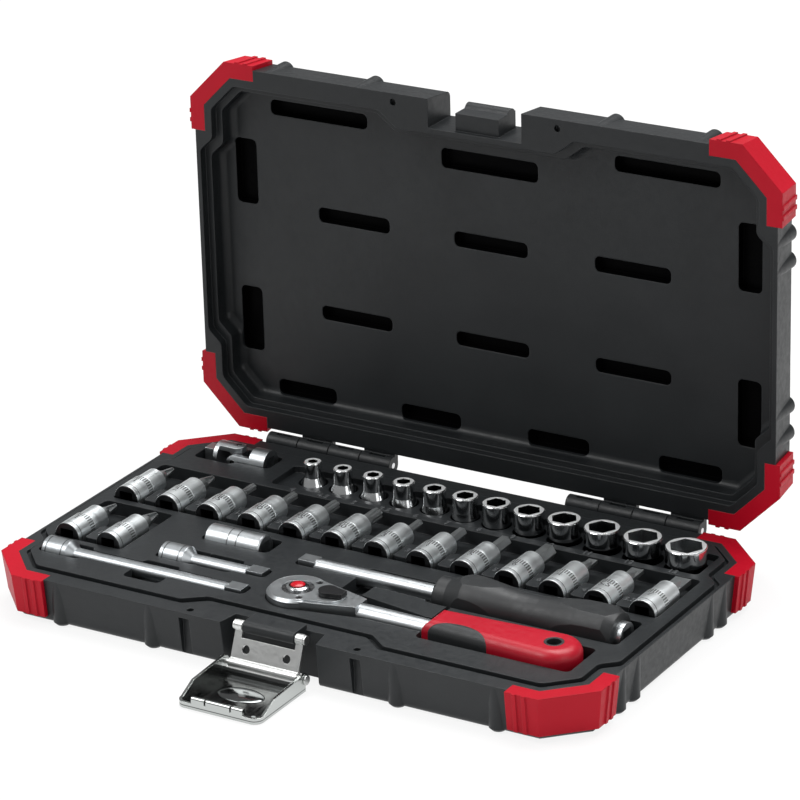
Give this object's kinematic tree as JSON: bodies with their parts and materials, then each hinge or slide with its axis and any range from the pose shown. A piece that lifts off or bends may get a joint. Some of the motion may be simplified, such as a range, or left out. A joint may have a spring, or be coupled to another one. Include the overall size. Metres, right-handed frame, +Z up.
{
  "type": "socket wrench set in case",
  "caption": "Hinged moulded carrying box holding a square-drive socket set with ratchet, spinner handle, extensions, universal joint, sockets and bit sockets, closed by a steel latch.",
  "frame": {"origin": "centre of the base's underside, on the bench", "axes": "+X along the box to the right of the latch, +Y from the latch to the hinge, +Z up"},
  "size_m": [0.2862, 0.2295, 0.1926],
  "materials": {
    "box_plastic": "fine moulded grain, charcoal",
    "guard_plastic": "satin red",
    "red_grip": "satin red",
    "red_button": "gloss red",
    "black_grip": "soft black",
    "black_lever": "satin black",
    "bright_steel": "bright plated sheet",
    "pin_steel": "plain",
    "satin_steel": "satin chrome",
    "dark_steel": "oiled",
    "chrome_steel": "polished chrome"
  },
  "bodies": {
    "base": {"base_shell": "box_plastic", "base_corner_guards": "guard_plastic", "hinge_pin_left": "pin_steel", "hinge_pin_right": "pin_steel", "latch_bar_pin": "bright_steel"},
    "lid": {"lid_shell": "box_plastic", "lid_corner_guards": "guard_plastic"},
    "latch_link": {"latch_link": "bright_steel", "latch_lever_pin": "bright_steel"},
    "latch_lever": {"latch_lever": "bright_steel"},
    "joint_socket": {"joint_socket_yoke": "chrome_steel"},
    "joint_cross": {"joint_cross": "chrome_steel"},
    "joint_drive": {"joint_drive_yoke": "chrome_steel"},
    "ratchet": {"ratchet_body": "chrome_steel", "ratchet_cover": "chrome_steel", "ratchet_cover_screws": "dark_steel", "ratchet_handle": "red_grip", "ratchet_handle_inlay": "black_grip"},
    "ratchet_drive": {"ratchet_gear": "dark_steel"},
    "ratchet_button": {"ratchet_button": "red_button"},
    "ratchet_reverser": {"ratchet_pawl": "dark_steel", "ratchet_reverse_lever": "black_lever"},
    "spinner": {"spinner_shaft": "chrome_steel", "spinner_grip": "black_grip", "spinner_end": "chrome_steel"},
    "adapter": {"adapter": "chrome_steel"},
    "bit_cross_a1": {"bit_cross_a1": "satin_steel"},
    "bit_cross_a2": {"bit_cross_a2": "satin_steel"},
    "bit_cross_b1": {"bit_cross_b1": "satin_steel"},
    "bit_cross_b2": {"bit_cross_b2": "satin_steel"},
    "bit_flat_4": {"bit_flat_4": "satin_steel"},
    "bit_flat_5p5": {"bit_flat_5p5": "satin_steel"},
    "bit_flat_7": {"bit_flat_7": "satin_steel"},
    "bit_hex_3": {"bit_hex_3": "satin_steel"},
    "bit_hex_4": {"bit_hex_4": "satin_steel"},
    "bit_hex_5": {"bit_hex_5": "satin_steel"},
    "bit_hex_6": {"bit_hex_6": "satin_steel"},
    "bit_star_15": {"bit_star_15": "satin_steel"},
    "bit_star_20": {"bit_star_20": "satin_steel"},
    "bit_star_25": {"bit_star_25": "satin_steel"},
    "bit_star_30": {"bit_star_30": "satin_steel"},
    "extension_long": {"extension_long": "chrome_steel"},
    "extension_short": {"extension_short": "chrome_steel"},
    "socket_10mm": {"socket_10mm": "chrome_steel"},
    "socket_11mm": {"socket_11mm": "chrome_steel"},
    "socket_12mm": {"socket_12mm": "chrome_steel"},
    "socket_13mm": {"socket_13mm": "chrome_steel"},
    "socket_4mm": {"socket_4mm": "chrome_steel"},
    "socket_4p5mm": {"socket_4p5mm": "chrome_steel"},
    "socket_5mm": {"socket_5mm": "chrome_steel"},
    "socket_5p5mm": {"socket_5p5mm": "chrome_steel"},
    "socket_6mm": {"socket_6mm": "chrome_steel"},
    "socket_7mm": {"socket_7mm": "chrome_steel"},
    "socket_8mm": {"socket_8mm": "chrome_steel"},
    "socket_9mm": {"socket_9mm": "chrome_steel"}
  },
  "joints": [
    {"name": "lid_hinge", "type": "hinge", "parent": "base", "child": "lid", "pos_m": [0, 0.088, 0.019], "axis": [-1, 0, 0], "range_deg": [-90, 0]},
    {"name": "latch_link_hinge", "type": "hinge", "parent": "base", "child": "latch_link", "pos_m": [0, -0.0805, 0.0194], "axis": [-1, 0, 0], "range_deg": [-23, 60]},
    {"name": "latch_lever_hinge", "type": "hinge", "parent": "latch_link", "child": "latch_lever", "pos_m": [0, -0.08652, 0.00522], "axis": [1, 0, 0], "range_deg": [-113, 0]},
    {"name": "joint_lift", "type": "slide", "parent": "base", "child": "joint_socket", "axis": [0, 0, 1], "range_m": [0, 0.03]},
    {"name": "ratchet_lift", "type": "slide", "parent": "base", "child": "ratchet", "axis": [0, 0, 1], "range_m": [0, 0.03]},
    {"name": "spinner_lift", "type": "slide", "parent": "base", "child": "spinner", "axis": [0, 0, 1], "range_m": [0, 0.03]},
    {"name": "adapter_lift", "type": "slide", "parent": "base", "child": "adapter", "axis": [0, 0, 1], "range_m": [0, 0.03]},
    {"name": "bit_cross_a1_lift", "type": "slide", "parent": "base", "child": "bit_cross_a1", "axis": [0, 0, 1], "range_m": [0, 0.03]},
    {"name": "bit_cross_a2_lift", "type": "slide", "parent": "base", "child": "bit_cross_a2", "axis": [0, 0, 1], "range_m": [0, 0.03]},
    {"name": "bit_cross_b1_lift", "type": "slide", "parent": "base", "child": "bit_cross_b1", "axis": [0, 0, 1], "range_m": [0, 0.03]},
    {"name": "bit_cross_b2_lift", "type": "slide", "parent": "base", "child": "bit_cross_b2", "axis": [0, 0, 1], "range_m": [0, 0.03]},
    {"name": "bit_flat_4_lift", "type": "slide", "parent": "base", "child": "bit_flat_4", "axis": [0, 0, 1], "range_m": [0, 0.03]},
    {"name": "bit_flat_5p5_lift", "type": "slide", "parent": "base", "child": "bit_flat_5p5", "axis": [0, 0, 1], "range_m": [0, 0.03]},
    {"name": "bit_flat_7_lift", "type": "slide", "parent": "base", "child": "bit_flat_7", "axis": [0, 0, 1], "range_m": [0, 0.03]},
    {"name": "bit_hex_3_lift", "type": "slide", "parent": "base", "child": "bit_hex_3", "axis": [0, 0, 1], "range_m": [0, 0.03]},
    {"name": "bit_hex_4_lift", "type": "slide", "parent": "base", "child": "bit_hex_4", "axis": [0, 0, 1], "range_m": [0, 0.03]},
    {"name": "bit_hex_5_lift", "type": "slide", "parent": "base", "child": "bit_hex_5", "axis": [0, 0, 1], "range_m": [0, 0.03]},
    {"name": "bit_hex_6_lift", "type": "slide", "parent": "base", "child": "bit_hex_6", "axis": [0, 0, 1], "range_m": [0, 0.03]},
    {"name": "bit_star_15_lift", "type": "slide", "parent": "base", "child": "bit_star_15", "axis": [0, 0, 1], "range_m": [0, 0.03]},
    {"name": "bit_star_20_lift", "type": "slide", "parent": "base", "child": "bit_star_20", "axis": [0, 0, 1], "range_m": [0, 0.03]},
    {"name": "bit_star_25_lift", "type": "slide", "parent": "base", "child": "bit_star_25", "axis": [0, 0, 1], "range_m": [0, 0.03]},
    {"name": "bit_star_30_lift", "type": "slide", "parent": "base", "child": "bit_star_30", "axis": [0, 0, 1], "range_m": [0, 0.03]},
    {"name": "extension_long_lift", "type": "slide", "parent": "base", "child": "extension_long", "axis": [0, 0, 1], "range_m": [0, 0.03]},
    {"name": "extension_short_lift", "type": "slide", "parent": "base", "child": "extension_short", "axis": [0, 0, 1], "range_m": [0, 0.03]},
    {"name": "socket_10mm_lift", "type": "slide", "parent": "base", "child": "socket_10mm", "axis": [0, 0, 1], "range_m": [0, 0.03]},
    {"name": "socket_11mm_lift", "type": "slide", "parent": "base", "child": "socket_11mm", "axis": [0, 0, 1], "range_m": [0, 0.03]},
    {"name": "socket_12mm_lift", "type": "slide", "parent": "base", "child": "socket_12mm", "axis": [0, 0, 1], "range_m": [0, 0.03]},
    {"name": "socket_13mm_lift", "type": "slide", "parent": "base", "child": "socket_13mm", "axis": [0, 0, 1], "range_m": [0, 0.03]},
    {"name": "socket_4mm_lift", "type": "slide", "parent": "base", "child": "socket_4mm", "axis": [0, 0, 1], "range_m": [0, 0.03]},
    {"name": "socket_4p5mm_lift", "type": "slide", "parent": "base", "child": "socket_4p5mm", "axis": [0, 0, 1], "range_m": [0, 0.03]},
    {"name": "socket_5mm_lift", "type": "slide", "parent": "base", "child": "socket_5mm", "axis": [0, 0, 1], "range_m": [0, 0.03]},
    {"name": "socket_5p5mm_lift", "type": "slide", "parent": "base", "child": "socket_5p5mm", "axis": [0, 0, 1], "range_m": [0, 0.03]},
    {"name": "socket_6mm_lift", "type": "slide", "parent": "base", "child": "socket_6mm", "axis": [0, 0, 1], "range_m": [0, 0.03]},
    {"name": "socket_7mm_lift", "type": "slide", "parent": "base", "child": "socket_7mm", "axis": [0, 0, 1], "range_m": [0, 0.03]},
    {"name": "socket_8mm_lift", "type": "slide", "parent": "base", "child": "socket_8mm", "axis": [0, 0, 1], "range_m": [0, 0.03]},
    {"name": "socket_9mm_lift", "type": "slide", "parent": "base", "child": "socket_9mm", "axis": [0, 0, 1], "range_m": [0, 0.03]},
    {"name": "joint_pitch", "type": "hinge", "parent": "joint_socket", "child": "joint_cross", "pos_m": [-0.107, 0.0625, 0.02], "axis": [0, 1, 0], "range_deg": [0, 40]},
    {"name": "joint_yaw", "type": "hinge", "parent": "joint_cross", "child": "joint_drive", "pos_m": [-0.107, 0.0625, 0.02], "axis": [0, 0, 1], "range_deg": [0, 15]},
    {"name": "ratchet_drive_turn", "type": "hinge", "parent": "ratchet", "child": "ratchet_drive", "pos_m": [-0.007, -0.0485, 0.019], "axis": [0, 0, 1], "continuous": true},
    {"name": "ratchet_button_press", "type": "slide", "parent": "ratchet_drive", "child": "ratchet_button", "axis": [0, 0, -1], "range_m": [0, 0.001], "stiffness_N_per_m": 1500},
    {"name": "ratchet_reverse", "type": "hinge", "parent": "ratchet", "child": "ratchet_reverser", "pos_m": [0.0075, -0.0485, 0.019], "axis": [0, 0, 1], "range_deg": [-25, 25]}
  ]
}
